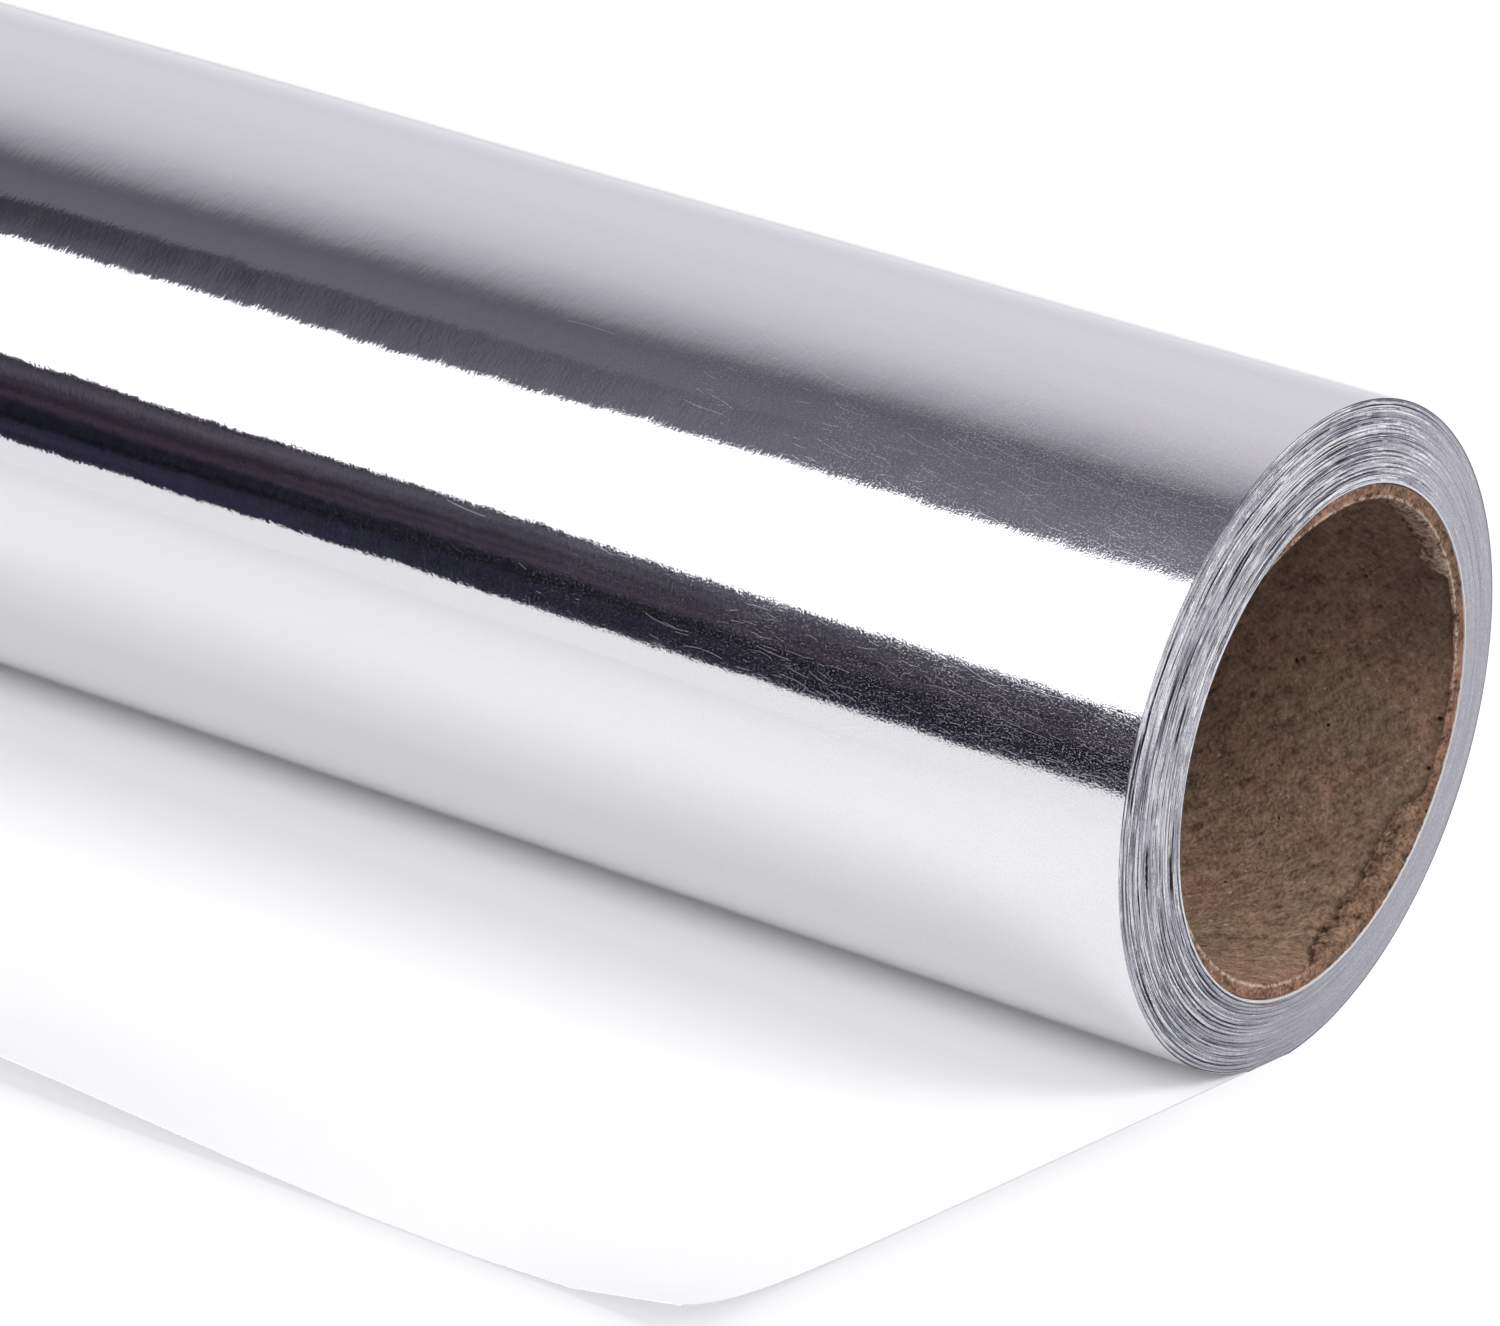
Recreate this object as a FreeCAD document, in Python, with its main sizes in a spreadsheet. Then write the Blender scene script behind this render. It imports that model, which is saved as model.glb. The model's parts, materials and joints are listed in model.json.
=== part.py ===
import FreeCAD, Part
import Sketcher
import enum
import math
import os

# A roll of mirror-silver wrapping paper: one long sheet wound on a cardboard tube, with its free end
# (the lead) unrolled on the floor and the white back of the sheet up.
#
# Frame, in millimetres: X runs along the roll, +Z is up and the lead runs towards -Y. The origin is on
# the floor, under the roll's axis, halfway along the sheet's width.

DRIVING_DIMENSIONS = {
    "paper_width": 432.0,  # width of the sheet, which is the length of the roll
    "sheet_thickness": 0.1,
    "winding_depth": 6.15,  # of all the turns, from the innermost to the outermost
    "flat_width": 6.0,  # flat spot that the soft roll makes where it rests
    "lead_length": 76.3,  # unrolled end of the sheet, from below the roll's axis to the cut edge
    "curl_reach": 16.0,  # stretch of the lead, back from its cut edge, that curls up
    "curl_rise": 2.1,  # height of the cut edge over the floor
    "telescope": 1.3,  # how far the innermost turn has slipped along the roll
    "flush_winding": 0.12,  # outermost winding that has not slipped
    "core_radius": 19.8,  # outside of the cardboard tube
    "core_wall": 1.2,
    "core_recess": 1.0,  # how far each end of the tube lies inside the innermost turn
    "winding_clearance": 0.05,  # between the tube and the innermost turn
    "drawn_turns": 11,  # turns of the spiral slit in each wound end
    "slit_width": 0.13,
    "slit_depth": 0.8,  # below the outermost turn's edge
}

# Sizes that follow from the driving ones
BORE_RADIUS = "dims.core_radius + dims.winding_clearance"  # of the innermost turn
ROLL_RADIUS = BORE_RADIUS + " + dims.winding_depth"
HALF_FLAT = "dims.flat_width / 2"
AXIS_HEIGHT = "sqrt((%s) ^ 2 - (%s) ^ 2)" % (ROLL_RADIUS, HALF_FLAT)  # of the roll's axis, over the floor

FULL_TURN = 360.0
BACK, FRONT = 1, -1  # the sides of the roll along Y
RIGHT, LEFT = 1, -1  # its ends along X


class EdgePoint(enum.IntEnum):
    """The Sketcher's numbers for the points of an edge."""

    START = 1
    END = 2
    CENTRE = 3


class FixedEdge(enum.IntEnum):
    """The Sketcher's numbers for the axes that every sketch has."""

    HORIZONTAL_AXIS = -1
    VERTICAL_AXIS = -2


START, END, CENTRE = EdgePoint
ORIGIN_POINT = (FixedEdge.HORIZONTAL_AXIS, START)


def make_dimension_sheet(doc):
    sheet = doc.addObject("Spreadsheet::Sheet", "dims")
    for row, (name, value) in enumerate(DRIVING_DIMENSIONS.items(), start=1):
        sheet.set("A%d" % row, name)
        sheet.set("B%d" % row, str(value))
        sheet.setAlias("B%d" % row, name)
    doc.recompute()
    return sheet


def point(first, second):
    """A point of a sketch, in the sketch's own plane."""
    return FreeCAD.Vector(first, second, 0)


def circle(centre, radius):
    return Part.Circle(centre, FreeCAD.Vector(0, 0, 1), radius)


def arc(centre, radius, start, end):
    """An arc that runs anticlockwise between two of its points."""
    angles = [math.atan2(place.y - centre.y, place.x - centre.x) for place in (start, end)]
    if angles[1] <= angles[0]:
        angles[1] += 2 * math.pi
    return Part.ArcOfCircle(circle(centre, radius), *angles)


def add_sketch(body, name, plane_role):
    sketch = body.newObject("Sketcher::SketchObject", name)
    plane = next(item for item in body.Origin.OriginFeatures if item.Role == plane_role)
    sketch.AttachmentSupport = [(plane, "")]
    sketch.MapMode = "FlatFace"
    return sketch


def bind(sketch, name, expression, kind, *places):
    """Adds a dimension to the sketch, at the size it is drawn with, and ties it to the sheet."""
    drawn = sketch.evalExpression(expression)
    index = sketch.addConstraint(Sketcher.Constraint(kind, *places, drawn))
    sketch.renameConstraint(index, name)
    sketch.setExpression("Constraints." + name, expression)


def place_on_axis(item):
    item.setExpression("Placement.Base.z", AXIS_HEIGHT)


# ---------------------------------------------------------------------------------------------------
# The sheet of paper
# ---------------------------------------------------------------------------------------------------


def draw_winding_and_lead(sketch, sheet):
    """The section across the roll: the outermost turn, which runs out into the lead, and the bore.

    The outermost turn leaves the floor at the back of the flat spot, goes up the back of the roll, over
    its top and down its front, and meets the lead's upper face at the front of the flat spot.
    """
    half_flat = sheet.evalExpression(HALF_FLAT)
    roll_radius = sheet.evalExpression(ROLL_RADIUS)
    axis_height = sheet.evalExpression(AXIS_HEIGHT)
    lead_top = sheet.sheet_thickness - axis_height
    roll_top = point(0, roll_radius)
    flat_back = point(half_flat, -axis_height)
    crevice = point(-half_flat, lead_top)
    # the front arc's centre is as far from the top of the roll as from the crevice
    front_centre = point(
        0, (roll_top.y**2 - half_flat**2 - lead_top**2) / (2 * (roll_top.y - lead_top))
    )
    curl_radius = (sheet.curl_reach**2 + sheet.curl_rise**2) / (2 * sheet.curl_rise)
    curl_start = sheet.curl_reach - sheet.lead_length
    curl_centre = point(curl_start, curl_radius - axis_height)
    lower_start = point(curl_start, -axis_height)
    upper_start = point(curl_start, lead_top)
    lower_tip = point(-sheet.lead_length, sheet.curl_rise - axis_height)
    towards_centre = (curl_centre - lower_tip).normalize()
    upper_tip = lower_tip + towards_centre * sheet.sheet_thickness

    back, front, lead_upper, curl_upper, cut_edge, curl_lower, floor_line, bore = sketch.addGeometry(
        [
            arc(point(0, 0), roll_radius, flat_back, roll_top),
            arc(front_centre, roll_top.y - front_centre.y, roll_top, crevice),
            Part.LineSegment(crevice, upper_start),
            arc(curl_centre, curl_radius - sheet.sheet_thickness, upper_tip, upper_start),
            Part.LineSegment(upper_tip, lower_tip),
            arc(curl_centre, curl_radius, lower_tip, lower_start),
            Part.LineSegment(lower_start, flat_back),
            circle(point(0, 0), sheet.evalExpression(BORE_RADIUS)),
        ]
    )
    sketch.addConstraint(
        [
            Sketcher.Constraint("Coincident", back, END, front, START),
            Sketcher.Constraint("Coincident", front, END, lead_upper, START),
            Sketcher.Constraint("Tangent", lead_upper, END, curl_upper, END),
            Sketcher.Constraint("Coincident", curl_upper, START, cut_edge, START),
            Sketcher.Constraint("Coincident", cut_edge, END, curl_lower, START),
            Sketcher.Constraint("Tangent", curl_lower, END, floor_line, START),
            Sketcher.Constraint("Coincident", floor_line, END, back, START),
            Sketcher.Constraint("Coincident", back, CENTRE, *ORIGIN_POINT),
            Sketcher.Constraint("Coincident", bore, CENTRE, *ORIGIN_POINT),
            Sketcher.Constraint("PointOnObject", back, END, FixedEdge.VERTICAL_AXIS),
            Sketcher.Constraint("PointOnObject", front, CENTRE, FixedEdge.VERTICAL_AXIS),
            Sketcher.Constraint("Coincident", curl_upper, CENTRE, curl_lower, CENTRE),
            Sketcher.Constraint("PointOnObject", curl_lower, CENTRE, cut_edge),
            Sketcher.Constraint("Horizontal", floor_line),
            Sketcher.Constraint("Horizontal", lead_upper),
        ]
    )
    bind(sketch, "roll_radius", ROLL_RADIUS, "Radius", back)
    bind(sketch, "bore_radius", BORE_RADIUS, "Radius", bore)
    bind(sketch, "flat_back", HALF_FLAT, "DistanceX", *ORIGIN_POINT, floor_line, END)
    bind(sketch, "flat_front", HALF_FLAT, "DistanceX", lead_upper, START, *ORIGIN_POINT)
    bind(
        sketch, "thickness", "dims.sheet_thickness", "DistanceY", floor_line, START, lead_upper, END
    )
    bind(sketch, "lead_length", "dims.lead_length", "DistanceX", curl_lower, START, *ORIGIN_POINT)
    bind(sketch, "curl_reach", "dims.curl_reach", "DistanceX", curl_lower, START, curl_lower, END)
    bind(sketch, "curl_rise", "dims.curl_rise", "DistanceY", curl_lower, END, curl_lower, START)


def draw_slip(sketch, sheet, side):
    """Half section of the cone that the slipped turns make at one end of the roll."""
    end = side * sheet.paper_width / 2
    bore_radius = sheet.evalExpression(BORE_RADIUS)
    cone_expression = AXIS_HEIGHT + " - dims.flush_winding"
    bore_corner = point(end, bore_radius)
    rim_corner = point(end, sheet.evalExpression(cone_expression))
    tip = point(end + sheet.telescope, bore_radius)
    radial, slope, axial = sketch.addGeometry(
        [
            Part.LineSegment(bore_corner, rim_corner),
            Part.LineSegment(rim_corner, tip),
            Part.LineSegment(tip, bore_corner),
        ]
    )
    sketch.addConstraint(
        [
            Sketcher.Constraint("Coincident", radial, END, slope, START),
            Sketcher.Constraint("Coincident", slope, END, axial, START),
            Sketcher.Constraint("Coincident", axial, END, radial, START),
            Sketcher.Constraint("Vertical", radial),
            Sketcher.Constraint("Horizontal", axial),
        ]
    )
    span = (*ORIGIN_POINT, radial, START) if side == RIGHT else (radial, START, *ORIGIN_POINT)
    bind(sketch, "end_plane", "dims.paper_width / 2", "DistanceX", *span)
    bind(sketch, "bore", BORE_RADIUS, "DistanceY", *ORIGIN_POINT, radial, START)
    bind(sketch, "rim", cone_expression, "DistanceY", *ORIGIN_POINT, radial, END)
    bind(sketch, "slip", "dims.telescope", "DistanceX", radial, START, slope, END)


def make_unslit_roll(doc, sheet):
    body = doc.addObject("PartDesign::Body", "unslit_roll")
    section = add_sketch(body, "roll_section", "YZ_Plane")
    draw_winding_and_lead(section, sheet)
    winding = body.newObject("PartDesign::Pad", "winding_and_lead")
    winding.Profile = section
    winding.SideType = "Symmetric"
    winding.setExpression("Length", "dims.paper_width")

    proud = add_sketch(body, "proud_turns_section", "XY_Plane")
    draw_slip(proud, sheet, RIGHT)
    proud_turns = body.newObject("PartDesign::Revolution", "proud_turns")
    proud_turns.Profile = proud
    proud_turns.ReferenceAxis = (proud, ["H_Axis"])
    proud_turns.Angle = FULL_TURN

    sunken = add_sketch(body, "sunken_turns_section", "XY_Plane")
    draw_slip(sunken, sheet, LEFT)
    sunken_turns = body.newObject("PartDesign::Groove", "sunken_turns")
    sunken_turns.Profile = sunken
    sunken_turns.ReferenceAxis = (sunken, ["H_Axis"])
    sunken_turns.Angle = FULL_TURN

    body.Tip = sunken_turns
    place_on_axis(body)
    return body


def half_turn(start_height, end_height, side):
    """A round arc from one height on the roll's axis to another, that bulges to the back or the front."""
    middle = (start_height + end_height) / 2
    bulge = side * abs(start_height - end_height) / 2
    return Part.Arc(
        FreeCAD.Vector(0, 0, start_height),
        FreeCAD.Vector(0, bulge, middle),
        FreeCAD.Vector(0, 0, end_height),
    ).toShape()


def spiral_edges(radius, pitch, turns):
    """A spiral inwards from the lowest point of a turn, whose front halves come closer to the axis."""
    edges = []
    for turn in range(turns):
        here = radius - turn * pitch
        edges.append(half_turn(-here, here, BACK))
        edges.append(half_turn(here, pitch - here, FRONT))
    return edges


def make_turn_slits(doc, sheet):
    """One long spiral slit at each end of the roll, which parts the edges of the turns."""
    turns = int(sheet.drawn_turns)
    bore_radius = sheet.evalExpression(BORE_RADIUS)
    axis_height = sheet.evalExpression(AXIS_HEIGHT)
    # as much paper stays outside the first turn and inside the last one as between two turns
    pitch = (axis_height - bore_radius + sheet.slit_width) / (turns + 2)
    outer_radius = axis_height - (pitch - sheet.slit_width)
    inner_radius = outer_radius - sheet.slit_width

    outer_wall = spiral_edges(outer_radius, pitch, turns)
    inner_wall = spiral_edges(inner_radius, pitch, turns)
    inwards = turns * pitch
    first_end = Part.makeLine((0, 0, -outer_radius), (0, 0, -inner_radius))
    last_end = Part.makeLine((0, 0, inwards - outer_radius), (0, 0, inwards - inner_radius))
    slit = Part.Face(Part.Wire(outer_wall + [last_end] + inner_wall[::-1] + [first_end]))

    slit_floor = sheet.paper_width / 2 - sheet.slit_depth
    cut_length = sheet.telescope + 2 * sheet.slit_depth  # runs out past the proudest turn
    slits = []
    for floor, direction in ((slit_floor, RIGHT), (sheet.telescope - slit_floor, LEFT)):
        profile = slit.translated(FreeCAD.Vector(floor, 0, 0))
        slits.append(profile.extrude(FreeCAD.Vector(direction * cut_length, 0, 0)))
    feature = doc.addObject("Part::Feature", "turn_slits")
    feature.Shape = Part.makeCompound(slits)
    place_on_axis(feature)
    return feature


def make_wrapping_paper(doc, sheet):
    paper = doc.addObject("Part::Cut", "wrapping_paper")
    paper.Base = make_unslit_roll(doc, sheet)
    paper.Tool = make_turn_slits(doc, sheet)
    paper.Label = "wrapping_paper"
    return paper


# ---------------------------------------------------------------------------------------------------
# The tube
# ---------------------------------------------------------------------------------------------------


def make_cardboard_core(doc, sheet):
    body = doc.addObject("PartDesign::Body", "cardboard_core")
    body.Label = "cardboard_core"
    section = add_sketch(body, "tube_section", "YZ_Plane")
    outside, inside = section.addGeometry(
        [
            circle(point(0, 0), sheet.core_radius),
            circle(point(0, 0), sheet.core_radius - sheet.core_wall),
        ]
    )
    for edge in (outside, inside):
        section.addConstraint(Sketcher.Constraint("Coincident", edge, CENTRE, *ORIGIN_POINT))
    bind(section, "outside_radius", "dims.core_radius", "Radius", outside)
    bind(section, "inside_radius", "dims.core_radius - dims.core_wall", "Radius", inside)
    tube = body.newObject("PartDesign::Pad", "tube")
    tube.Profile = section
    tube.SideType = "Symmetric"
    tube.setExpression("Length", "dims.paper_width - 2 * dims.core_recess")
    body.Tip = tube
    place_on_axis(body)
    body.setExpression("Placement.Base.x", "dims.telescope")
    return body


# ---------------------------------------------------------------------------------------------------


def check(doc, parts):
    for item in doc.Objects:
        if "Invalid" in item.State or "Error" in item.State:
            raise RuntimeError("%s did not compute: %s" % (item.Label, item.State))
    for item in parts:
        if item.Shape.isNull() or not item.Shape.isValid():
            raise RuntimeError("%s has no valid shape" % item.Label)


def export(parts):
    os.makedirs("parts", exist_ok=True)
    for item in parts:
        item.Shape.exportStep("parts/%s.step" % item.Label)
        box = item.Shape.BoundBox
        print(
            "%s: %d solid, %.1f mm3, X %.2f..%.2f Y %.2f..%.2f Z %.2f..%.2f"
            % (
                item.Label,
                len(item.Shape.Solids),
                item.Shape.Volume,
                *(box.XMin, box.XMax, box.YMin, box.YMax, box.ZMin, box.ZMax),
            )
        )


def main():
    doc = FreeCAD.newDocument("wrapping_paper_roll")
    sheet = make_dimension_sheet(doc)
    parts = [make_wrapping_paper(doc, sheet), make_cardboard_core(doc, sheet)]
    doc.recompute()
    check(doc, parts)
    export(parts)


main()
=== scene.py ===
"""The looks of a roll of mirror-silver wrapping paper on a cardboard tube, with its lead unrolled.

The sheet is one closed mesh: the outermost turn with its foil outside, the lead with its white back up, and
wound ends in which each turn of the sheet shows its cut edge. The tube is a second mesh, with torn rims.
All lengths are in metres, in the CAD model's frame: X along the roll, Z up, the lead towards -Y.
"""

import json
import math

import bmesh
import bpy
import numpy as np
from mathutils import Matrix, Vector


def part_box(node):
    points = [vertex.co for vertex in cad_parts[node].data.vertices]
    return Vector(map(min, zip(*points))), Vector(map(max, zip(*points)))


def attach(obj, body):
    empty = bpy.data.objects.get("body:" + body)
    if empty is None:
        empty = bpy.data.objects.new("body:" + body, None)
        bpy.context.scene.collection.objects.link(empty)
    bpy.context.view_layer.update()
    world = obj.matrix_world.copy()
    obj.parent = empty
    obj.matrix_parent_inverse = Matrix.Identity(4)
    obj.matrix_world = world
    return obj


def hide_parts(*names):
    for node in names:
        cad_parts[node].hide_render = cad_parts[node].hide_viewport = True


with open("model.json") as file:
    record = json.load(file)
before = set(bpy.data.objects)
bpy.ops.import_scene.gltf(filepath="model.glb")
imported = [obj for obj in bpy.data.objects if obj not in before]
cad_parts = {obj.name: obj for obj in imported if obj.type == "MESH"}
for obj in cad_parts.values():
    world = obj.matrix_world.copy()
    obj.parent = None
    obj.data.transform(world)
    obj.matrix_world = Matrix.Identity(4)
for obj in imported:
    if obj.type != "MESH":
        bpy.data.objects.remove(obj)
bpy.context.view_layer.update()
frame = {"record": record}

MM = 0.001
FULL_TURN = 2 * math.pi

# ---------------------------------------------------------------------------------------------------
# Sizes that come from the frame
# ---------------------------------------------------------------------------------------------------

PAPER_LOW, PAPER_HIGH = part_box("wrapping_paper")
CORE_LOW, CORE_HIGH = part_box("cardboard_core")
CORE_BORE = next(mount for mount in frame["record"]["mounts"] if mount["name"] == "core_bore")

AXIS_HEIGHT = CORE_BORE["pos_m"][2]
ROLL_RADIUS = PAPER_HIGH.z - AXIS_HEIGHT
HALF_FLAT = math.sqrt(ROLL_RADIUS**2 - AXIS_HEIGHT**2)  # of the flat spot under the roll
HALF_WIDTH = -PAPER_LOW.x  # of the sheet
TELESCOPE = PAPER_HIGH.x - HALF_WIDTH  # how far the innermost turn has slipped along the roll
LEAD_TIP = PAPER_LOW.y
TUBE_RADIUS = CORE_HIGH.z - AXIS_HEIGHT
TUBE_BORE = CORE_BORE["dims"]["r_mm"] * MM
CLEARANCE = 0.05 * MM  # between the tube and the innermost turn
WINDING_BORE = TUBE_RADIUS + CLEARANCE

# ---------------------------------------------------------------------------------------------------
# Shapes from grids of points
# ---------------------------------------------------------------------------------------------------


class Wander:
    """A smooth random line, with a value from -1 to 1 at each place along it."""

    def __init__(self, seed, spacing, span):
        self.spacing = spacing
        self.knots = np.random.default_rng(seed).uniform(-1, 1, int(span / spacing) + 4)

    def __call__(self, place):
        step = np.asarray(place, float) / self.spacing + 1
        knot = np.floor(step).astype(int)
        blend = step - knot
        blend = blend * blend * (3 - 2 * blend)
        return self.knots[knot] * (1 - blend) + self.knots[knot + 1] * blend


class RingWander:
    """A smooth random ring: a sum of a few waves, with a value of about -1 to 1 at each angle."""

    def __init__(self, seed, first, last):
        rng = np.random.default_rng(seed)
        self.waves = [
            (count, rng.normal() / math.sqrt(last - first + 1), rng.uniform(0, FULL_TURN))
            for count in range(first, last + 1)
        ]

    def __call__(self, angle):
        return sum(size * np.sin(count * angle + start) for count, size, start in self.waves)


class Shell:
    """Collects grids of points, each with its own material, and welds them into one closed mesh."""

    def __init__(self):
        self.points = []
        self.sunk = []
        self.faces = []
        self.finishes = []

    def grid(self, x, y, z, finish, sunk=0.0):
        """Adds a grid of quads. finish is a material's number, or one for each row of quads.

        sunk is how many gap widths a point lies below the mouth of a gap between turns.
        """
        x, y, z, sunk = np.broadcast_arrays(x, y, z, sunk)
        rows, columns = x.shape
        first = len(self.points)
        self.points.extend(np.stack([x, y, z], -1).reshape(-1, 3).tolist())
        self.sunk.extend(sunk.ravel().tolist())
        row_finish = np.broadcast_to(finish, rows - 1)
        for row in range(rows - 1):
            for column in range(columns - 1):
                corner = first + row * columns + column
                self.faces.append((corner, corner + 1, corner + columns + 1, corner + columns))
                self.finishes.append(int(row_finish[row]))

    def build(self, name, materials, sharp_angle):
        mesh = bpy.data.meshes.new(name)
        mesh.from_pydata(self.points, [], self.faces)
        mesh.polygons.foreach_set("material_index", self.finishes)
        mesh.attributes.new("sunk", "FLOAT", "POINT").data.foreach_set("value", self.sunk)
        for material in materials:
            mesh.materials.append(material)
        work = bmesh.new()
        work.from_mesh(mesh)
        bmesh.ops.remove_doubles(work, verts=work.verts, dist=0.0002 * MM)
        bmesh.ops.recalc_face_normals(work, faces=work.faces)
        work.to_mesh(mesh)
        work.free()
        mesh.shade_smooth()
        mesh.set_sharp_from_angle(angle=sharp_angle)
        piece = bpy.data.objects.new(name, mesh)
        bpy.context.scene.collection.objects.link(piece)
        return piece


def smooth_step(low, high, value):
    blend = np.clip((value - low) / (high - low), 0, 1)
    return blend * blend * (3 - 2 * blend)


# ---------------------------------------------------------------------------------------------------
# Node trees
# ---------------------------------------------------------------------------------------------------


class Nodes:
    """Short calls that fill one node tree. A value may be a number, a colour or another node's socket."""

    def __init__(self, tree):
        self.tree = tree
        tree.nodes.clear()

    def feed(self, socket, value):
        if isinstance(value, bpy.types.NodeSocket):
            self.tree.links.new(value, socket)
        elif socket.type == "RGBA" and len(value) == 3:
            socket.default_value = (*value, 1.0)
        else:
            socket.default_value = value

    def add(self, kind, settings=None, **inputs):
        """Adds a node. An input's underscores stand for the spaces in the socket's name."""
        node = self.tree.nodes.new("ShaderNode" + kind)
        for name, value in (settings or {}).items():
            setattr(node, name, value)
        for name, value in inputs.items():
            self.feed(node.inputs[name.replace("_", " ")], value)
        return node

    def math(self, operation, *values):
        node = self.add("Math", {"operation": operation})
        for socket, value in zip(node.inputs, values):
            self.feed(socket, value)
        return node.outputs[0]

    def plus(self, total, *others):
        for value in others:
            total = self.math("ADD", total, value)
        return total

    def times(self, product, *others):
        for value in others:
            product = self.math("MULTIPLY", product, value)
        return product

    def minus(self, first, second):
        return self.math("SUBTRACT", first, second)

    def sine(self, angle):
        return self.math("SINE", angle)

    def cosine(self, angle):
        return self.math("COSINE", angle)

    def hypotenuse(self, first, second):
        return self.math("SQRT", self.plus(self.times(first, first), self.times(second, second)))

    def between(self, value, low, high, first=0.0, last=1.0, smooth=False):
        """The value's place between low and high, as a number from first to last."""
        kind = "SMOOTHSTEP" if smooth else "LINEAR"
        node = self.add("MapRange", {"interpolation_type": kind, "clamp": True}, Value=value)
        for socket, number in zip(node.inputs[1:5], (low, high, first, last)):
            self.feed(socket, number)
        return node.outputs["Result"]

    def mix(self, factor, first, second, blend="MIX"):
        node = self.add("Mix", {"data_type": "RGBA", "blend_type": blend})
        self.feed(node.inputs["Factor"], factor)
        self.feed(node.inputs[6], first)
        self.feed(node.inputs[7], second)
        return node.outputs[2]

    def shade(self, colour, light):
        """The colour times one number."""
        return self.mix(1.0, colour, self.join(light, light, light), "MULTIPLY")

    def split(self, vector):
        return self.add("SeparateXYZ", Vector=vector).outputs

    def join(self, x, y, z):
        return self.add("CombineXYZ", X=x, Y=y, Z=z).outputs[0]

    def noise(self, vector, scale, detail, roughness=0.5):
        node = self.add("TexNoise", Vector=vector, Scale=scale, Detail=detail, Roughness=roughness)
        return node.outputs["Fac"]

    def ramp(self, factor, stops):
        """stops are (place, colour) pairs, with places from 0 to 1 in rising order."""
        node = self.add("ValToRGB", Fac=factor)
        ramp = node.color_ramp
        while len(ramp.elements) < len(stops):
            ramp.elements.new(1.0)
        for element, (place, colour) in zip(ramp.elements, stops):
            element.position = place
            element.color = (*colour, 1.0)
        return node.outputs["Color"]

    def bump(self, height, distance, normal=None):
        node = self.add("Bump", Height=height, Distance=distance)
        if normal is not None:
            self.feed(node.inputs["Normal"], normal)
        return node.outputs["Normal"]


def new_material(name):
    material = bpy.data.materials.new(name)
    material.use_nodes = True
    return material, Nodes(material.node_tree)


def surface(nodes, **inputs):
    shader = nodes.add("BsdfPrincipled", **inputs)
    nodes.add("OutputMaterial", Surface=shader.outputs["BSDF"])


def roll_coordinates(nodes):
    """Sockets for the place along the roll, the angle round it, and the distance from its axis.

    The angle is 0 at the top, a quarter turn at the back and half a turn at the bottom.
    """
    x, y, z = nodes.split(nodes.add("TexCoord").outputs["Object"])
    height = nodes.minus(z, AXIS_HEIGHT)
    angle = nodes.math("ARCTAN2", y, height)
    return x, angle, nodes.hypotenuse(y, height)


# ---------------------------------------------------------------------------------------------------
# Materials
# ---------------------------------------------------------------------------------------------------

FOIL_COLOUR = (0.80, 0.795, 0.81)
LINE_JUMP = 7.3  # how far apart two neighbouring lines lie in the noise, so that they differ


def shaded_in_gap(nodes, colour):
    """The colour with painted shade: darker the deeper it lies in a gap between turns."""
    sunk = nodes.add("Attribute", {"attribute_name": "sunk"}).outputs["Fac"]
    light = nodes.math("EXPONENT", nodes.times(nodes.math("MAXIMUM", sunk, 0.0), -1.3))
    return nodes.mix(light, (0.01, 0.01, 0.014), colour)


def hairlines(nodes, sheet, spacing, width, present, slant, spread):
    """Thin bent lines on the sheet: at most one in each cell, and the cells are spacing apart.

    spacing and width are in millimetres, and present is the share of the cells that have a line. The lines
    lie slant degrees off the roll's direction, give or take spread.
    """
    most_bend = 0.28
    cell = nodes.add("TexVoronoi", {"voronoi_dimensions": "2D"}, Vector=sheet, Scale=1 / spacing).outputs
    offset = nodes.add("VectorMath", {"operation": "SUBTRACT"})
    nodes.feed(offset.inputs[0], sheet)
    nodes.feed(offset.inputs[1], cell["Position"])
    x, y, _ = nodes.split(offset.outputs[0])
    turn, bend, chance = nodes.split(cell["Color"])
    slope = nodes.between(turn, 0.0, 1.0, math.radians(slant - spread), math.radians(slant + spread))
    run, rise = nodes.cosine(slope), nodes.sine(slope)
    along = nodes.plus(nodes.times(x, run), nodes.times(y, rise))
    across = nodes.minus(nodes.times(y, run), nodes.times(x, rise))
    bent = nodes.times(along, along, nodes.between(bend, 0.0, 1.0, -most_bend, most_bend))
    across = nodes.plus(across, nodes.math("DIVIDE", bent, spacing))
    line = nodes.between(nodes.math("ABSOLUTE", across), 0.0, width / 2, 1.0, 0.0, smooth=True)
    return nodes.times(line, nodes.math("LESS_THAN", chance, present))


def foil_relief(nodes, along, around, worn):
    """The foil's normal: soft waves of the sheet, and the paper's grain, which runs round the roll."""
    sheet = nodes.join(along, around, 0.0)
    grain_place = nodes.join(nodes.times(along, 3.0), nodes.times(around, 1.2), 0.0)
    fine = nodes.times(nodes.noise(sheet, 6.0, 1.0, 0.5), nodes.between(worn, 0.0, 0.8, 0.1, 1.0))
    # heights and how far each stands out, in millimetres
    layers = [(nodes.noise(sheet, 0.12, 2.0), 0.035), (nodes.noise(sheet, 0.45, 1.0), 0.008)]
    layers += [(nodes.noise(grain_place, 1.0, 2.0, 0.6), 0.0055), (fine, 0.004)]
    normal = None
    for height, distance in layers:
        normal = nodes.bump(height, distance * MM, normal)
    return normal


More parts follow.
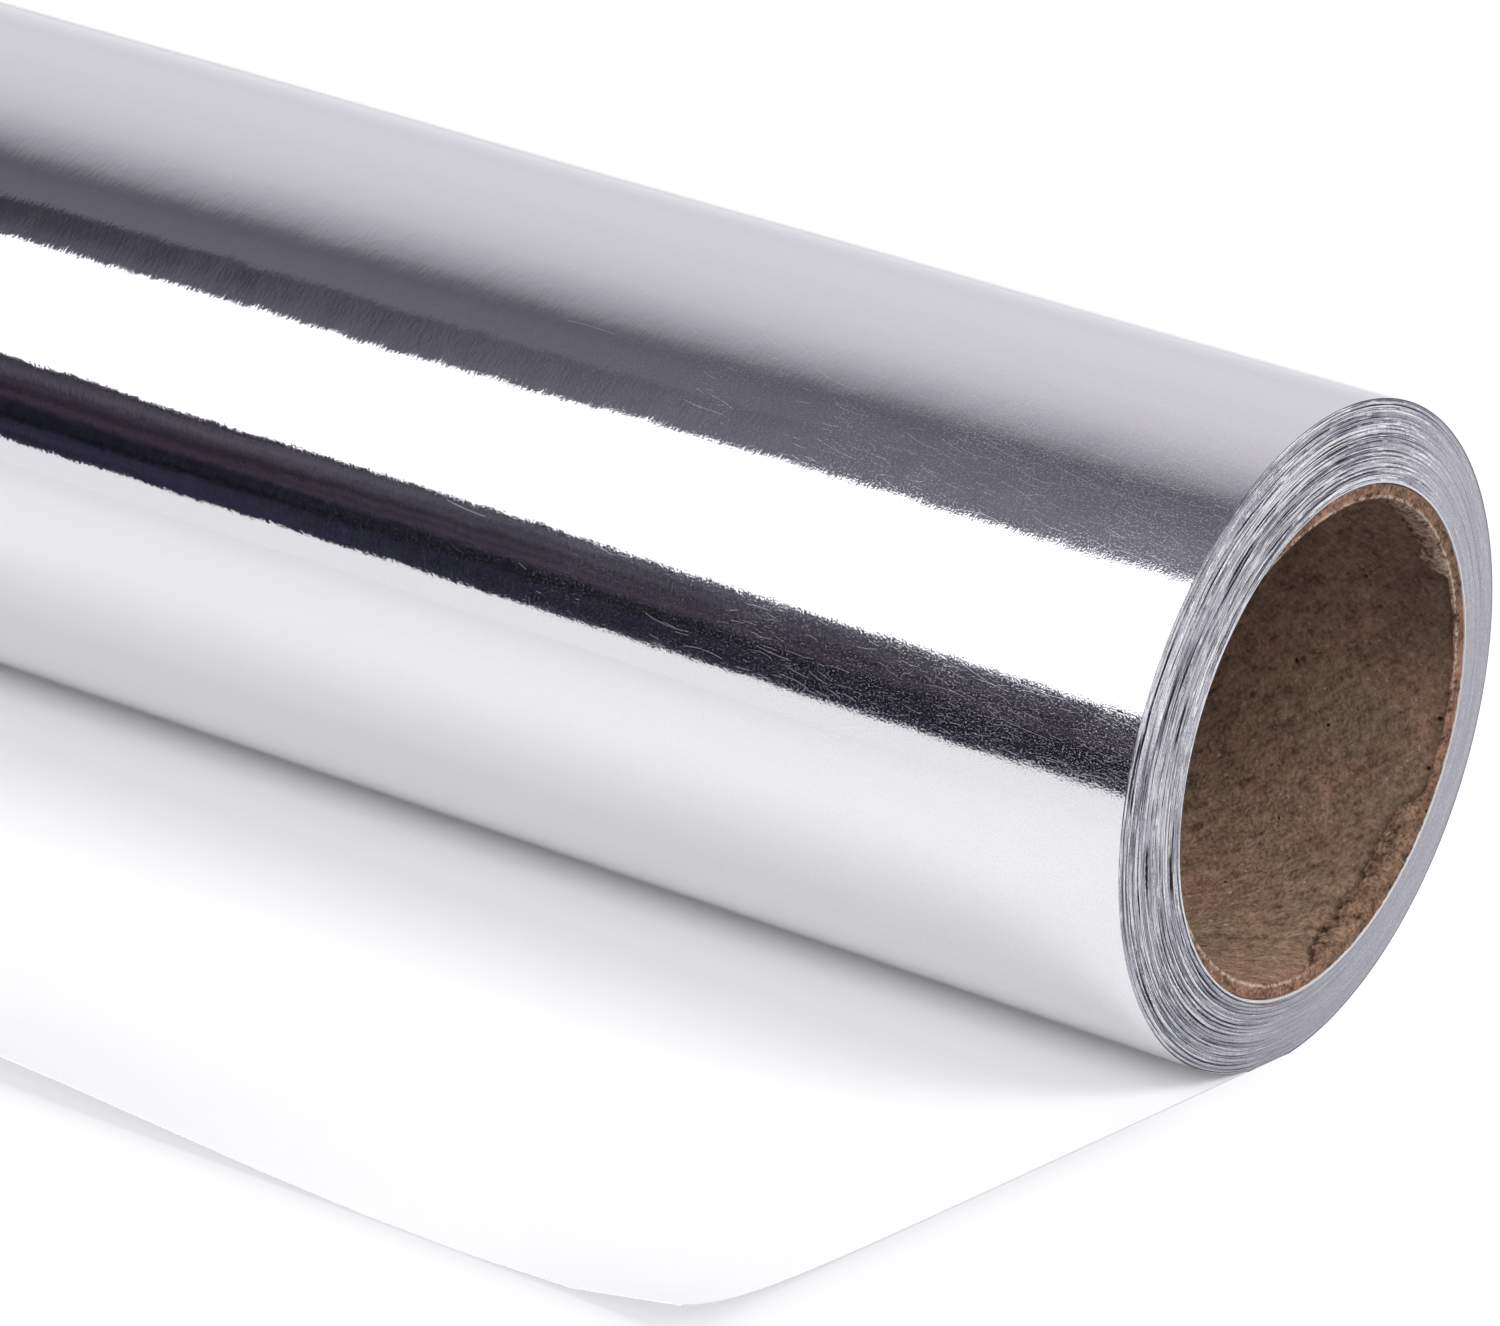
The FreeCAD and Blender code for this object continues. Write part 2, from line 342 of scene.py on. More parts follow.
def foil_marks(nodes, along, around, worn):
    """How strong the specks and scratches are. There are more of them where the foil is worn."""
    sheet = nodes.join(along, around, 0.0)
    speck_place = nodes.join(nodes.times(along, 5.0), nodes.times(around, 8.0), 6.0)
    specks = nodes.between(nodes.noise(speck_place, 1.0, 2.0, 0.7), 0.52, 0.66)
    marks = nodes.times(specks, nodes.between(worn, 0.0, 0.7), 0.8)
    # spacing and width in millimetres, share of the cells, slant and spread in degrees, and strength
    long_lines = (3.2, 0.04, nodes.between(worn, 0.1, 0.8, 0.0, 0.8), -9, 9, 1.0)
    short_lines = (1.1, 0.035, nodes.between(worn, 0.2, 0.8, 0.0, 0.9), -4, 14, 1.0)
    hatching = (0.45, 0.03, nodes.between(worn, 0.3, 0.9, 0.0, 0.9), 0, 18, 0.8)
    for spacing, width, present, slant, spread, strength in (long_lines, short_lines, hatching):
        lines = hairlines(nodes, sheet, spacing, width, present, slant, spread)
        marks = nodes.math("MAXIMUM", marks, nodes.times(lines, strength))
    return marks


def make_foil():
    """Vacuum-metallised paper: a mirror on which the paper's grain shows through, with fine scratches."""
    material, nodes = new_material("mirror_foil")
    x, angle, _ = roll_coordinates(nodes)
    along = nodes.math("DIVIDE", x, MM)
    around = nodes.times(angle, ROLL_RADIUS / MM)

    # handling has worn the foil in patches, and most of all near the roll's ends
    handled = nodes.between(nodes.math("ABSOLUTE", x), HALF_WIDTH - 130 * MM, HALF_WIDTH)
    patches = nodes.noise(nodes.join(along, around, 0.0), 0.16, 3.0, 0.6)
    worn = nodes.times(nodes.math("POWER", handled, 2.5), nodes.between(patches, 0.35, 0.68, 0.5, 1.0))

    # streaks, specks and scratches scatter a little light, so they show on dark reflections
    streak_place = nodes.join(nodes.times(along, 1.8), nodes.times(around, 0.8), 4.0)
    streaks = nodes.between(nodes.noise(streak_place, 1.0, 3.0, 0.7), 0.42, 0.66, 0.0, 0.006)
    marks = foil_marks(nodes, along, around, worn)
    surface(
        nodes,
        Base_Color=shaded_in_gap(nodes, FOIL_COLOUR),
        Metallic=nodes.minus(1.0, nodes.plus(streaks, nodes.times(marks, 0.19))),
        Roughness=nodes.plus(0.035, nodes.times(marks, 0.27)),
        Normal=foil_relief(nodes, along, around, worn),
    )
    return material


def make_paper_back():
    material, nodes = new_material("white_paper_back")
    place = nodes.add("TexCoord").outputs["Object"]
    fibres = nodes.noise(place, 2500.0, 4.0, 0.6)
    clouds = nodes.noise(place, 180.0, 3.0, 0.5)
    colour = nodes.mix(clouds, (0.875, 0.878, 0.888), (0.895, 0.895, 0.90))
    surface(
        nodes,
        Base_Color=colour,
        Roughness=0.75,
        Specular_IOR_Level=0.3,
        Normal=nodes.bump(fibres, 0.004 * MM),
    )
    return material


def make_shaded_gap_wall():
    material, nodes = new_material("paper_between_turns")
    # painted shade: the paper between the turns is drawn a darker lilac-grey than the white back, and darker
    # still deeper in the gap
    surface(nodes, Base_Color=shaded_in_gap(nodes, (0.56, 0.56, 0.61)), Roughness=0.8, Specular_IOR_Level=0.3)
    return material


def fine_lines(nodes, angle, radius, width, repeats, seed):
    """Noise for the fine lines that run round a wound end, each as wide as width in metres.

    It jumps from one line to the next, and changes softly along a line: repeats is per radian.
    """
    line = nodes.math("FLOOR", nodes.math("DIVIDE", radius, width))
    place = nodes.join(nodes.times(angle, repeats), nodes.times(line, LINE_JUMP), seed)
    return nodes.noise(place, 1.0, 1.0, 0.5)


def dark_threads(nodes, angle, across):
    """Thin dark lines that sway a little, and come and go along the turns. across is in millimetres."""
    spacing = 0.30
    sway = nodes.noise(nodes.join(nodes.times(angle, 1.5), nodes.times(across, 1.2), 2.0), 1.0, 2.0, 0.5)
    step = nodes.plus(nodes.times(across, 1 / spacing), sway)
    number = nodes.math("FLOOR", step)
    off_thread = nodes.math("ABSOLUTE", nodes.minus(nodes.minus(step, number), 0.5))
    along_thread = nodes.join(nodes.times(angle, 2.5), nodes.times(number, LINE_JUMP), 1.0)
    strength = nodes.between(nodes.noise(along_thread, 1.0, 1.0), 0.32, 0.56, 0.0, 0.6)
    return nodes.times(nodes.between(off_thread, 0.08, 0.25, 1.0, 0.0), strength)


def make_foil_at_cut():
    """The strips of foil that show where one turn sticks out past the next: crimped by the knife, with
    painted glints and dark reflections.
    """
    material, nodes = new_material("foil_at_cut")
    _, angle, radius = roll_coordinates(nodes)
    crimp_place = nodes.join(nodes.times(angle, 12.0), nodes.times(radius, 6.0 / MM), 0.0)
    crimps = nodes.noise(crimp_place, 1.0, 2.0, 0.6)
    painted_glints = fine_lines(nodes, angle, radius, 0.10 * MM, 3.0, 3.0)
    # painted glints and dark reflections: the foil's colour goes from near black to near white along the
    # lines
    colour = nodes.mix(nodes.between(painted_glints, 0.36, 0.46), (0.07, 0.07, 0.08), (0.95, 0.95, 0.96))
    normal = nodes.bump(crimps, 0.08 * MM)
    surface(nodes, Base_Color=shaded_in_gap(nodes, colour), Metallic=1.0, Roughness=0.38, Normal=normal)
    return material


def make_cut_edge():
    """The cut edges of the sheet's turns: paper drawn lilac-grey, a painted shade of the fine gaps and a
    painted reflection of the foil layer between them, with fine dark and pale lines round the roll.

    The lines are crisp at the front and at the top, and the back is pressed smooth.
    """
    material, nodes = new_material("cut_paper_edge")
    _, angle, radius = roll_coordinates(nodes)
    sine, cosine = nodes.sine(angle), nodes.cosine(angle)
    across = nodes.math("DIVIDE", radius, MM)
    # how far a place is at the front, low and high
    front = nodes.between(nodes.minus(sine, nodes.times(cosine, 0.3)), -0.35, 0.4, 1.0, 0.12)
    low, high = nodes.between(cosine, -0.7, -0.97), nodes.between(cosine, 0.7, 0.95)

    # lines along the turns, crisper in some areas than in others
    areas = nodes.noise(nodes.join(nodes.times(angle, 1.6), nodes.times(across, 0.7), 8.0), 1.0, 2.0)
    crisp = nodes.times(front, nodes.between(areas, 0.36, 0.60, 1.4, 2.7))
    crisp = nodes.times(crisp, nodes.between(low, 0.0, 1.0, 1.0, 0.55))
    long_lines = nodes.minus(fine_lines(nodes, angle, radius, 0.12 * MM, 2.2, 7.0), 0.5)
    # painted glints: short pale lines, only ever lighter than the paper, and more of them towards the top
    short_lines = nodes.minus(fine_lines(nodes, angle, radius, 0.10 * MM, 14.0, 5.0), 0.56)
    glint_strength = nodes.between(cosine, -0.5, 0.5, 1.2, 2.2)
    short_lines = nodes.times(nodes.math("MAXIMUM", short_lines, 0.0), glint_strength)
    lines = nodes.times(nodes.plus(long_lines, short_lines), crisp)
    lines = nodes.minus(lines, nodes.times(dark_threads(nodes, angle, across), front))
    rings = nodes.noise(nodes.join(nodes.times(angle, 4.0), nodes.times(across, 3.5), 0.0), 1.0, 2.0, 0.6)
    rings = nodes.times(nodes.minus(rings, 0.5), 0.14)
    place = nodes.add("TexCoord").outputs["Object"]
    grit = nodes.minus(nodes.noise(place, 6500.0, 1.0, 0.5), 0.5)
    grit = nodes.times(grit, nodes.plus(0.35, nodes.times(crisp, 0.25)))

    # a tone of 0.5 is plain paper; painted light makes it lighter at the front and at the top, and painted
    # shade darker at the bottom
    tone = nodes.plus(0.5, nodes.times(front, 0.08), nodes.times(high, 0.03), nodes.times(low, -0.04))
    stops = [(0.0, (0.01, 0.01, 0.02)), (0.15, (0.04, 0.04, 0.06)), (0.30, (0.30, 0.295, 0.35))]
    stops += [(0.5, (0.50, 0.495, 0.56)), (0.68, (0.72, 0.715, 0.77)), (0.80, (1.0, 1.0, 1.0))]
    colour = nodes.ramp(nodes.plus(tone, grit, lines, rings), stops)
    # the outermost turn's edge is dark, and the innermost one is pale
    outermost = nodes.math("GREATER_THAN", radius, ROLL_RADIUS - 0.13 * MM)
    colour = nodes.mix(outermost, colour, (0.10, 0.10, 0.12))
    innermost = nodes.math("LESS_THAN", radius, WINDING_BORE + 0.14 * MM)
    colour = nodes.mix(innermost, colour, (0.86, 0.86, 0.90))
    surface(
        nodes,
        Base_Color=colour,
        Roughness=0.8,
        Specular_IOR_Level=0.25,
        Normal=nodes.bump(nodes.noise(place, 5000.0, 2.0, 0.6), 0.05 * MM),
    )
    return material


def near_tube_end(nodes, x):
    """How near a place on the tube is to its end: 0 from 9 mm inside, and 1 from 2 mm."""
    return nodes.between(nodes.math("ABSOLUTE", x), HALF_WIDTH - 9 * MM, HALF_WIDTH - 2 * MM)


def paint_board_shade(nodes, x, angle):
    """Painted shade on the tube's wall: how far it's darkened at the back near its ends, over its middle, and
    low at the back.

    Painted light makes the bottom paler than the rest.
    """
    sine, cosine = nodes.sine(angle), nodes.cosine(angle)
    at_back = nodes.times(near_tube_end(nodes, x), nodes.between(sine, 0.0, 0.6))
    at_back = nodes.times(at_back, nodes.between(cosine, -0.15, 0.3, 0.2, 0.4))
    over_middle = nodes.times(nodes.between(cosine, -0.1, 0.2), nodes.between(cosine, 0.5, 0.75, 0.2, 0.0))
    low_at_back = nodes.between(nodes.minus(sine, cosine), 0.8, 1.35, 0.0, 0.1)
    at_bottom = nodes.between(nodes.plus(cosine, nodes.times(sine, 0.8)), -0.2, -0.65, 0.0, -0.14)
    return nodes.plus(at_back, over_middle, low_at_back, at_bottom)


def paint_torn_rim_shade(nodes, x, angle):
    """Painted shade on the torn rim: how far it's darkened, only at the back."""
    return nodes.times(near_tube_end(nodes, x), nodes.between(nodes.sine(angle), 0.0, 0.6, 0.0, 0.15))


def worn_corner(nodes, angle, radius, tone):
    """How pale the inner corner of the torn rim has worn. Low at the back it hasn't."""
    outside = nodes.between(radius, TUBE_BORE + 0.34 * MM, TUBE_BORE + 0.22 * MM)
    inside = nodes.between(radius, TUBE_BORE + 0.02 * MM, TUBE_BORE + 0.1 * MM)
    low_at_back = nodes.minus(nodes.sine(angle), nodes.cosine(angle))
    worn = nodes.times(outside, inside, nodes.between(tone, 0.6, 1.2))
    return nodes.times(worn, nodes.between(low_at_back, 0.8, 1.2, 1.0, 0.0))


def pale_fibres(nodes, angle, radius, tone):
    """How far pale fibres cover the loose ply: most of all high in the tube."""
    loose = nodes.math("LESS_THAN", radius, TUBE_BORE - 0.06 * MM)
    high = nodes.between(nodes.cosine(angle), 0.0, 0.4, 0.1, 1.0)
    return nodes.times(loose, nodes.between(tone, 0.7, 1.5, 0.0, 0.65), high)


def make_kraft(name, red, olive, pale, torn):
    """Brown board made from recycled fibre: red and olive patches, slanting grain, flecks and specks."""
    material, nodes = new_material(name)
    x, angle, radius = roll_coordinates(nodes)
    around = nodes.times(angle, -TUBE_BORE / MM)
    along = nodes.math("DIVIDE", x, MM)
    depth = nodes.math("DIVIDE", radius, MM)
    place = nodes.join(along, around, depth)
    # the plies are wound at an angle, so the grain slants
    grain_x = nodes.times(nodes.plus(along, around), 0.35)
    grain_y = nodes.times(nodes.minus(around, along), 1.54)
    fibres = nodes.noise(nodes.join(grain_x, grain_y, depth), 1.0, 3.0, 0.6)
    flecks = nodes.noise(place, 3.2, 2.0, 0.6)
    mottle = nodes.noise(place, 0.8, 3.0, 0.6)

    # the torn rim shows more relief and contrast, and less of the grain
    relief = 2.0 if torn else 1.0
    grain_share = 0.8 / relief
    contrast = 0.45 + 0.2 * relief
    tone = nodes.plus(nodes.times(fibres, grain_share), nodes.times(flecks, 0.8))
    tone = nodes.plus(tone, nodes.times(mottle, 1.7 - grain_share))
    tone = nodes.between(tone, 0.85, 1.65, 1.0 - contrast, 1.0 + contrast)
    patches = nodes.between(nodes.noise(place, 0.13, 3.0, 0.6), 0.38, 0.62)
    colour = nodes.shade(nodes.mix(patches, red, olive), tone)
    light_specks = nodes.noise(nodes.join(along, around, 3.0), 2.1, 1.0, 0.5)
    colour = nodes.mix(nodes.between(light_specks, 0.70, 0.80), colour, pale)
    dark_specks = nodes.noise(nodes.join(along, around, 9.0), 1.0, 0.0, 0.5)
    colour = nodes.mix(nodes.between(dark_specks, 0.83, 0.86), colour, (0.02, 0.012, 0.01))
    if torn:
        colour = nodes.mix(worn_corner(nodes, angle, radius, tone), colour, pale)
        colour = nodes.mix(pale_fibres(nodes, angle, radius, tone), colour, pale)
    # painted shade by where a place lies in the tube, and on the board painted light at its bottom
    painted_shade = paint_torn_rim_shade(nodes, x, angle) if torn else paint_board_shade(nodes, x, angle)
    colour = nodes.shade(colour, nodes.minus(1.0, painted_shade))
    normal = nodes.bump(mottle, 0.25 * MM)
    normal = nodes.bump(nodes.plus(fibres, flecks), 0.07 * relief * MM, normal)
    surface(nodes, Base_Color=colour, Roughness=0.9, Specular_IOR_Level=0.2, Normal=normal)
    return material


# ---------------------------------------------------------------------------------------------------
# The sheet of wrapping paper
# ---------------------------------------------------------------------------------------------------

SHEET = 0.1 * MM  # thickness of the lead
TURNS = 61
FLAT_ANGLE = math.asin(HALF_FLAT / ROLL_RADIUS)
FLAT_STEPS, ROUND_STEPS = 8, 192
LENGTH_STEPS = 48
LEAD_STEPS = 26
FOIL, BACK, EDGE, GAP_WALL, CUT_FOIL = range(5)  # the sheet's materials

# angles go from the crevice, where the lead leaves the roll, by the floor and up the back of the roll
ANGLES = np.concatenate(
    [
        np.linspace(-FLAT_ANGLE, FLAT_ANGLE, FLAT_STEPS, endpoint=False),
        np.linspace(FLAT_ANGLE, FULL_TURN - FLAT_ANGLE, ROUND_STEPS + 1),
    ]
)
# each row is one turn, from the outermost inwards: how many turns the sheet has made at each angle
TURN = np.arange(TURNS + 2)[:, None] + ANGLES / FULL_TURN
LAST_TURN = TURN[TURNS, -1]


def wander_along_turns(seed, spacing):
    """A smooth random value from -1 to 1 for each turn and angle. spacing is in turns."""
    return Wander(seed, spacing, TURNS + 4)(TURN)


def wind_sheet():
    """How deep each turn's outer side lies below the outermost one, its share of paper, and its gap.

    The depth goes from 0 at the outside to 1 at the bore, and the share is that of a turn's whole pitch. A
    turn is a sheet of paper and the gap under it. Most turns lie tight, and the rest part for a while.
    """
    paper, tight_gap, parted_gap = 0.070 * MM, 0.005 * MM, 0.065 * MM
    parting = wander_along_turns(5, 0.55) + 0.35 * wander_along_turns(6, 0.12)
    gap = tight_gap + (parted_gap - tight_gap) * np.clip(parting - 0.3, 0, 1) ** 1.1
    pitch = paper + gap
    first = (TURN[0] - TURN[0, 0]) * pitch[0, 0]
    depth = first + np.vstack([np.zeros(len(ANGLES)), np.cumsum(pitch[:-1], 0)])
    to_bore = depth[TURNS] + (LAST_TURN - TURN[TURNS]) * pitch[TURNS, 0]
    return np.clip(depth / to_bore, 0, 1), paper / pitch, gap


DEPTH, PAPER_SHARE, GAP = wind_sheet()


def outline(angle):
    """The roll's radius without the spiral: a circle with a flat spot at the bottom."""
    from_bottom = (angle + math.pi) % FULL_TURN - math.pi
    on_flat = np.abs(from_bottom) < FLAT_ANGLE
    return np.where(on_flat, AXIS_HEIGHT / np.cos(from_bottom), ROLL_RADIUS)


TURN_RADIUS = WINDING_BORE + (outline(ANGLES) - WINDING_BORE) * (1 - DEPTH)


def on_roll(angle, radius):
    """y and z of a point at an angle from the bottom of the roll."""
    return radius * np.sin(angle), AXIS_HEIGHT - radius * np.cos(angle)


def cut_edges(side, seed):
    """x of every turn's cut edge at one end of the roll."""
    flush_radius = AXIS_HEIGHT - 0.12 * MM  # the turns outside it haven't slipped
    slipped = np.clip((flush_radius - TURN_RADIUS) / (flush_radius - WINDING_BORE), 0, 1)
    # unevenness from long to short: (size in millimetres, spacing in turns)
    uneven = 0
    for number, (size, spacing) in enumerate([(0.09, 0.8), (0.05, 0.23), (0.04, 0.045), (0.04, 0.011)]):
        uneven = uneven + size * wander_along_turns(seed + number, spacing)
    # the outermost and innermost turns are even, and the back is pressed nearly flat
    free = smooth_step(1, 2, TURN) * np.clip((LAST_TURN - TURN) / 3, 0, 1)
    calm = 1 - 0.8 * smooth_step(-0.1, 0.6, np.sin(ANGLES))
    return side * HALF_WIDTH + TELESCOPE * slipped + MM * free * calm * uneven


RIGHT, LEFT = 1, -1
EDGE_X = {RIGHT: cut_edges(RIGHT, 11), LEFT: cut_edges(LEFT, 21)}


def gap_mouth(side):
    """x of the mouth of the gap under every turn but the last."""
    return side * np.minimum(side * EDGE_X[side][:-1], side * EDGE_X[side][1:])


def gap_floor(side):
    """x of the floor of those gaps: wide ones are deeper. The last gap shuts where the sheet ends."""
    is_open = LAST_TURN - TURN[:-1] > 0.1
    shallowest, most_added = 0.02 * MM, 1.2 * MM
    depth = shallowest + np.minimum(9 * GAP[:-1], most_added)
    return gap_mouth(side) - side * is_open * depth


def add_wound_end(shell, side):
    """The cut edge of every turn at one end of the roll, and the two walls of the gap under it."""
    edge, mouth, floor = EDGE_X[side], gap_mouth(side), gap_floor(side)
    outer, share = TURN_RADIUS[:-1], PAPER_SHARE[:-1]
    to_next = TURN_RADIUS[1:] - outer
    radius = np.stack([outer, outer + to_next * share, outer + to_next * (1 + share) / 2], 1)
    x = np.stack([edge[:-1], edge[:-1], floor], 1)
    # a turn's outer side is the wall of the gap above it
    mouth_above = np.vstack([edge[:1], mouth[:-1]])
    gap_above = np.vstack([GAP[:1], GAP[:-2]])
    sunk = [side * (mouth_above - edge[:-1]) / gap_above]
    sunk += [side * (mouth - place) / GAP[:-1] for place in (edge[:-1], floor)]

    def rings(grid, innermost):
        """The grid's rings, from the outermost inwards, with one more inside them."""
        return np.vstack([grid.reshape(-1, len(ANGLES)), innermost[None, :]])

    radius, x = rings(radius, TURN_RADIUS[-1]), rings(x, edge[-1])
    sunk = rings(np.stack(sunk, 1), 0 * ANGLES)
    shell.grid(x, *on_roll(ANGLES, radius), [EDGE, GAP_WALL, CUT_FOIL] * (TURNS + 1), sunk)


def foil_waves(x, angle):
    """Soft unevenness of the wound sheet, which dies out at the ends and where the roll rests."""
    rng = np.random.default_rng(7)
    waves = 0
    for _ in range(7):
        along, around = rng.uniform(60, 150), rng.integers(1, 7)
        waves = waves + np.sin(x * along + angle * around + rng.uniform(0, FULL_TURN))
    clear = smooth_step(HALF_WIDTH, HALF_WIDTH - 12 * MM, np.abs(x))
    clear = clear * smooth_step(0.15, 0.9, angle) * smooth_step(FULL_TURN - 0.2, FULL_TURN - 0.9, angle)
    return 0.008 * MM * waves * clear


def add_outer_turn(shell, along):
    """The foil that shows round the roll."""
    x = EDGE_X[LEFT][0] + (EDGE_X[RIGHT][0] - EDGE_X[LEFT][0]) * along[:, None]
    shell.grid(x, *on_roll(ANGLES, TURN_RADIUS[0] + foil_waves(x, ANGLES)), FOIL)


def lead_lift(x, y):
    """How far the lead's lower side has risen from the floor, most of all at its corner."""
    from_tip = (y - LEAD_TIP) / MM
    from_end = (HALF_WIDTH - x) / MM
    corner = 2.08 * np.exp(-from_end / 5.6 - from_tip / 6.5)
    # away from the corner, the last 16 mm curl up, a little more in some places than in others
    front = 2.05 * smooth_step(20, 71, from_end) * (0.85 + 0.15 * np.cos((from_end - 65) / 45))
    return MM * (corner + front * np.clip(1 - from_tip / 16, 0, 1) ** 2)


def add_lead(shell, along):
    """The lead's two sides and its three cut edges, from the crevice to the tip."""
    top_y, top_z = on_roll(ANGLES[-1], TURN_RADIUS[0, -1])
    bottom_y, _ = on_roll(ANGLES[0], TURN_RADIUS[0, 0])
    share = np.linspace(0, 1, LEAD_STEPS) ** 0.8
    x = HALF_WIDTH * (2 * along[:, None] - 1)
    y_low = bottom_y + (LEAD_TIP - bottom_y) * share
    y_high = top_y + (LEAD_TIP - top_y) * share
    z_low = lead_lift(x, y_low)
    z_high = lead_lift(x, y_high) + top_z + (SHEET - top_z) * smooth_step(0, 0.2, share)
    shell.grid(x, y_low, z_low, FOIL)
    shell.grid(x, y_high, z_high, BACK)
    # the wound end's outermost gap meets the lead in three steps, so the side edges have them too
    paper_share = PAPER_SHARE[0, 0]
    steps = np.array([0, paper_share, (1 + paper_share) / 2, 1])[:, None]
    for side, end in ((LEFT, 0), (RIGHT, -1)):
        side_x = np.full((4, LEAD_STEPS), x[end, 0])
        side_x[2, 0] = gap_floor(side)[0, 0]
        side_y = y_low + (y_high - y_low) * steps
        side_z = z_low[end] + (z_high[end] - z_low[end]) * steps
        shell.grid(side_x, side_y, side_z, BACK)
    shell.grid(x, LEAD_TIP, (z_low[:, -1] + (z_high[:, -1] - z_low[:, -1]) * steps).T, BACK)


def add_winding_bore(shell):
    """The innermost turn's inner side, which the tube hides."""
    ends = np.stack([EDGE_X[LEFT][-1], EDGE_X[RIGHT][-1]])
    shell.grid(ends, *on_roll(ANGLES, TURN_RADIUS[-1]), BACK)


def make_wrapping_paper():
    along = np.linspace(0, 1, LENGTH_STEPS + 1)
    shell = Shell()
    add_outer_turn(shell, along)
    for side in (LEFT, RIGHT):
        add_wound_end(shell, side)
    add_winding_bore(shell)
    add_lead(shell, along)
    materials = [make_foil(), make_paper_back(), make_cut_edge(), make_shaded_gap_wall(), make_foil_at_cut()]
    sheet = shell.build("wound_wrapping_paper", materials, math.radians(30))
    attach(sheet, "root")
    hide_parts("wrapping_paper")


# ---------------------------------------------------------------------------------------------------
# The cardboard tube
# ---------------------------------------------------------------------------------------------------

TUBE_COLUMNS = 512
WALL, RIM = range(2)  # the tube's materials


def lip_width(side, angle):
    """How far the loose inner ply reaches into the tube, in millimetres, at each angle from the bottom."""
    degrees = np.degrees(angle) % 360
    # where it's torn loose, in degrees: (starts, is whole, starts to end, ends, width in millimetres)
    torn = [(121, 124, 150, 166, 1.9), (8, 20, 58, 66, 1.9), (215, 225, 246, 250, 0.5)]
    wide = 0
    for start, whole, ending, end, width in torn:
        wide = wide + width * smooth_step(start, whole, degrees) * smooth_step(end, ending, degrees)
    coarse, fine = RingWander(side * 10 + 30, 10, 60)(angle), RingWander(side * 10 + 31, 60, 150)(angle)
    ragged = 0.5 + 0.5 * coarse + 0.3 * fine
    narrowest, most_added = 0.12, 3.0
    return narrowest + np.clip(wide * (0.82 + 0.2 * ragged) + 0.06 * ragged, 0, most_added)


def tube_end(side, angle):
    """Rows of x, radius and material, from the tube's outside over its torn rim to its inside."""
    nominal = CORE_HIGH.x if side == RIGHT else CORE_LOW.x
    # the end isn't cut square: it's flush with the turns at the back and sunk at the front
    end_x = nominal + side * MM * 0.95 * smooth_step(-0.95, -0.1, np.sin(angle))
    wall = TUBE_RADIUS - TUBE_BORE
    rows = []
    # the rim: (share of the wall from the outside, depth below the end, raggedness), in millimetres
    profile = [(0.0, 0.30, 0.0), (0.02, 0.06, 0.03), (0.15, 0.0, 0.05), (0.32, 0.05, 0.06), (0.5, 0.02, 0.07)]
    profile += [(0.68, 0.07, 0.08), (0.84, 0.04, 0.08)]
    for number, (share, depth, torn) in enumerate(profile):
        inward = depth + torn * RingWander(side * 10 + 40 + number, 20, 140)(angle)
        rows.append((end_x - side * MM * np.maximum(inward, -0.1), TUBE_RADIUS - share * wall, RIM))
    # the loose ply: (share of its width, how far it curls in there, how far it frays)
    ply_start = 0.12
    lip = lip_width(side, angle)
    curl = 0.05 + 0.24 * np.clip(lip - 0.2, 0, 1)
    fray = 0.05 * RingWander(side * 10 + 50, 30, 140)(angle)
    for share, curled, frayed in ((0.0, 0.4, 0.0), (0.35, 1.0, 1.0), (0.75, 1.0, 0.5), (1.0, 0.7, 0.0)):
        inward = curled * curl + frayed * fray
        rows.append((end_x - side * MM * (ply_start + share * lip), TUBE_BORE - MM * inward, RIM))
    # the groove behind it: (how far past it, share of the groove's depth)
    groove = 0.06 + 0.34 * smooth_step(-0.4, 0.5, np.sin(angle))
    for past, share in ((0.17, 1.0), (0.55, 0.8), (1.1, 0.1)):
        rows.append((end_x - side * MM * (past + lip), TUBE_BORE + MM * share * groove, WALL))
    # the tube's inside, which swells a little here and there
    for depth in (5.6, 6.6, 8.0, 12.0, 20.0, 40.0, 80.0):
        swell = 0.06 * RingWander(90 + int(depth * 10), 3, 12)(angle)
        rows.append((end_x - side * depth * MM, TUBE_BORE + MM * swell, WALL))
    return rows


def make_cardboard_core():
    angle = np.linspace(0, FULL_TURN, TUBE_COLUMNS + 1)
    left, right = tube_end(LEFT, angle), tube_end(RIGHT, angle)
    rows = left + right[::-1] + left[:1]
    x = np.array([row[0] for row in rows])
    radius = np.array([row[1] + 0 * angle for row in rows])
    # a strip between two rows takes the material of the outer one
    finishes = [row[2] for row in left[:-1]] + [WALL] + [row[2] for row in right[:-1]][::-1] + [WALL]
    shell = Shell()
    shell.grid(x, *on_roll(angle, radius), finishes)
    pale, paler = (0.52, 0.44, 0.35), (0.60, 0.49, 0.39)
    materials = [
        make_kraft("kraft_board", (0.32, 0.194, 0.138), (0.285, 0.199, 0.138), pale, torn=False),
        # painted shade: the torn rim is drawn in darker colours than the board, so that it looks no lighter
        # than the tube's inside
        make_kraft("torn_board", (0.30, 0.168, 0.118), (0.24, 0.15, 0.10), paler, torn=True),
    ]
    tube = shell.build("kraft_tube", materials, math.radians(60))
    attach(tube, "root")
    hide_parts("cardboard_core")


# ---------------------------------------------------------------------------------------------------
# Studio
# ---------------------------------------------------------------------------------------------------

VIOLET = (1.0, 0.955, 1.20)
PLUM = (1.15, 0.85, 1.30)
INK = (0.90, 0.88, 1.70)
SLATE = (1.0, 0.97, 1.08)
LILAC = (1.0, 0.98, 1.04)

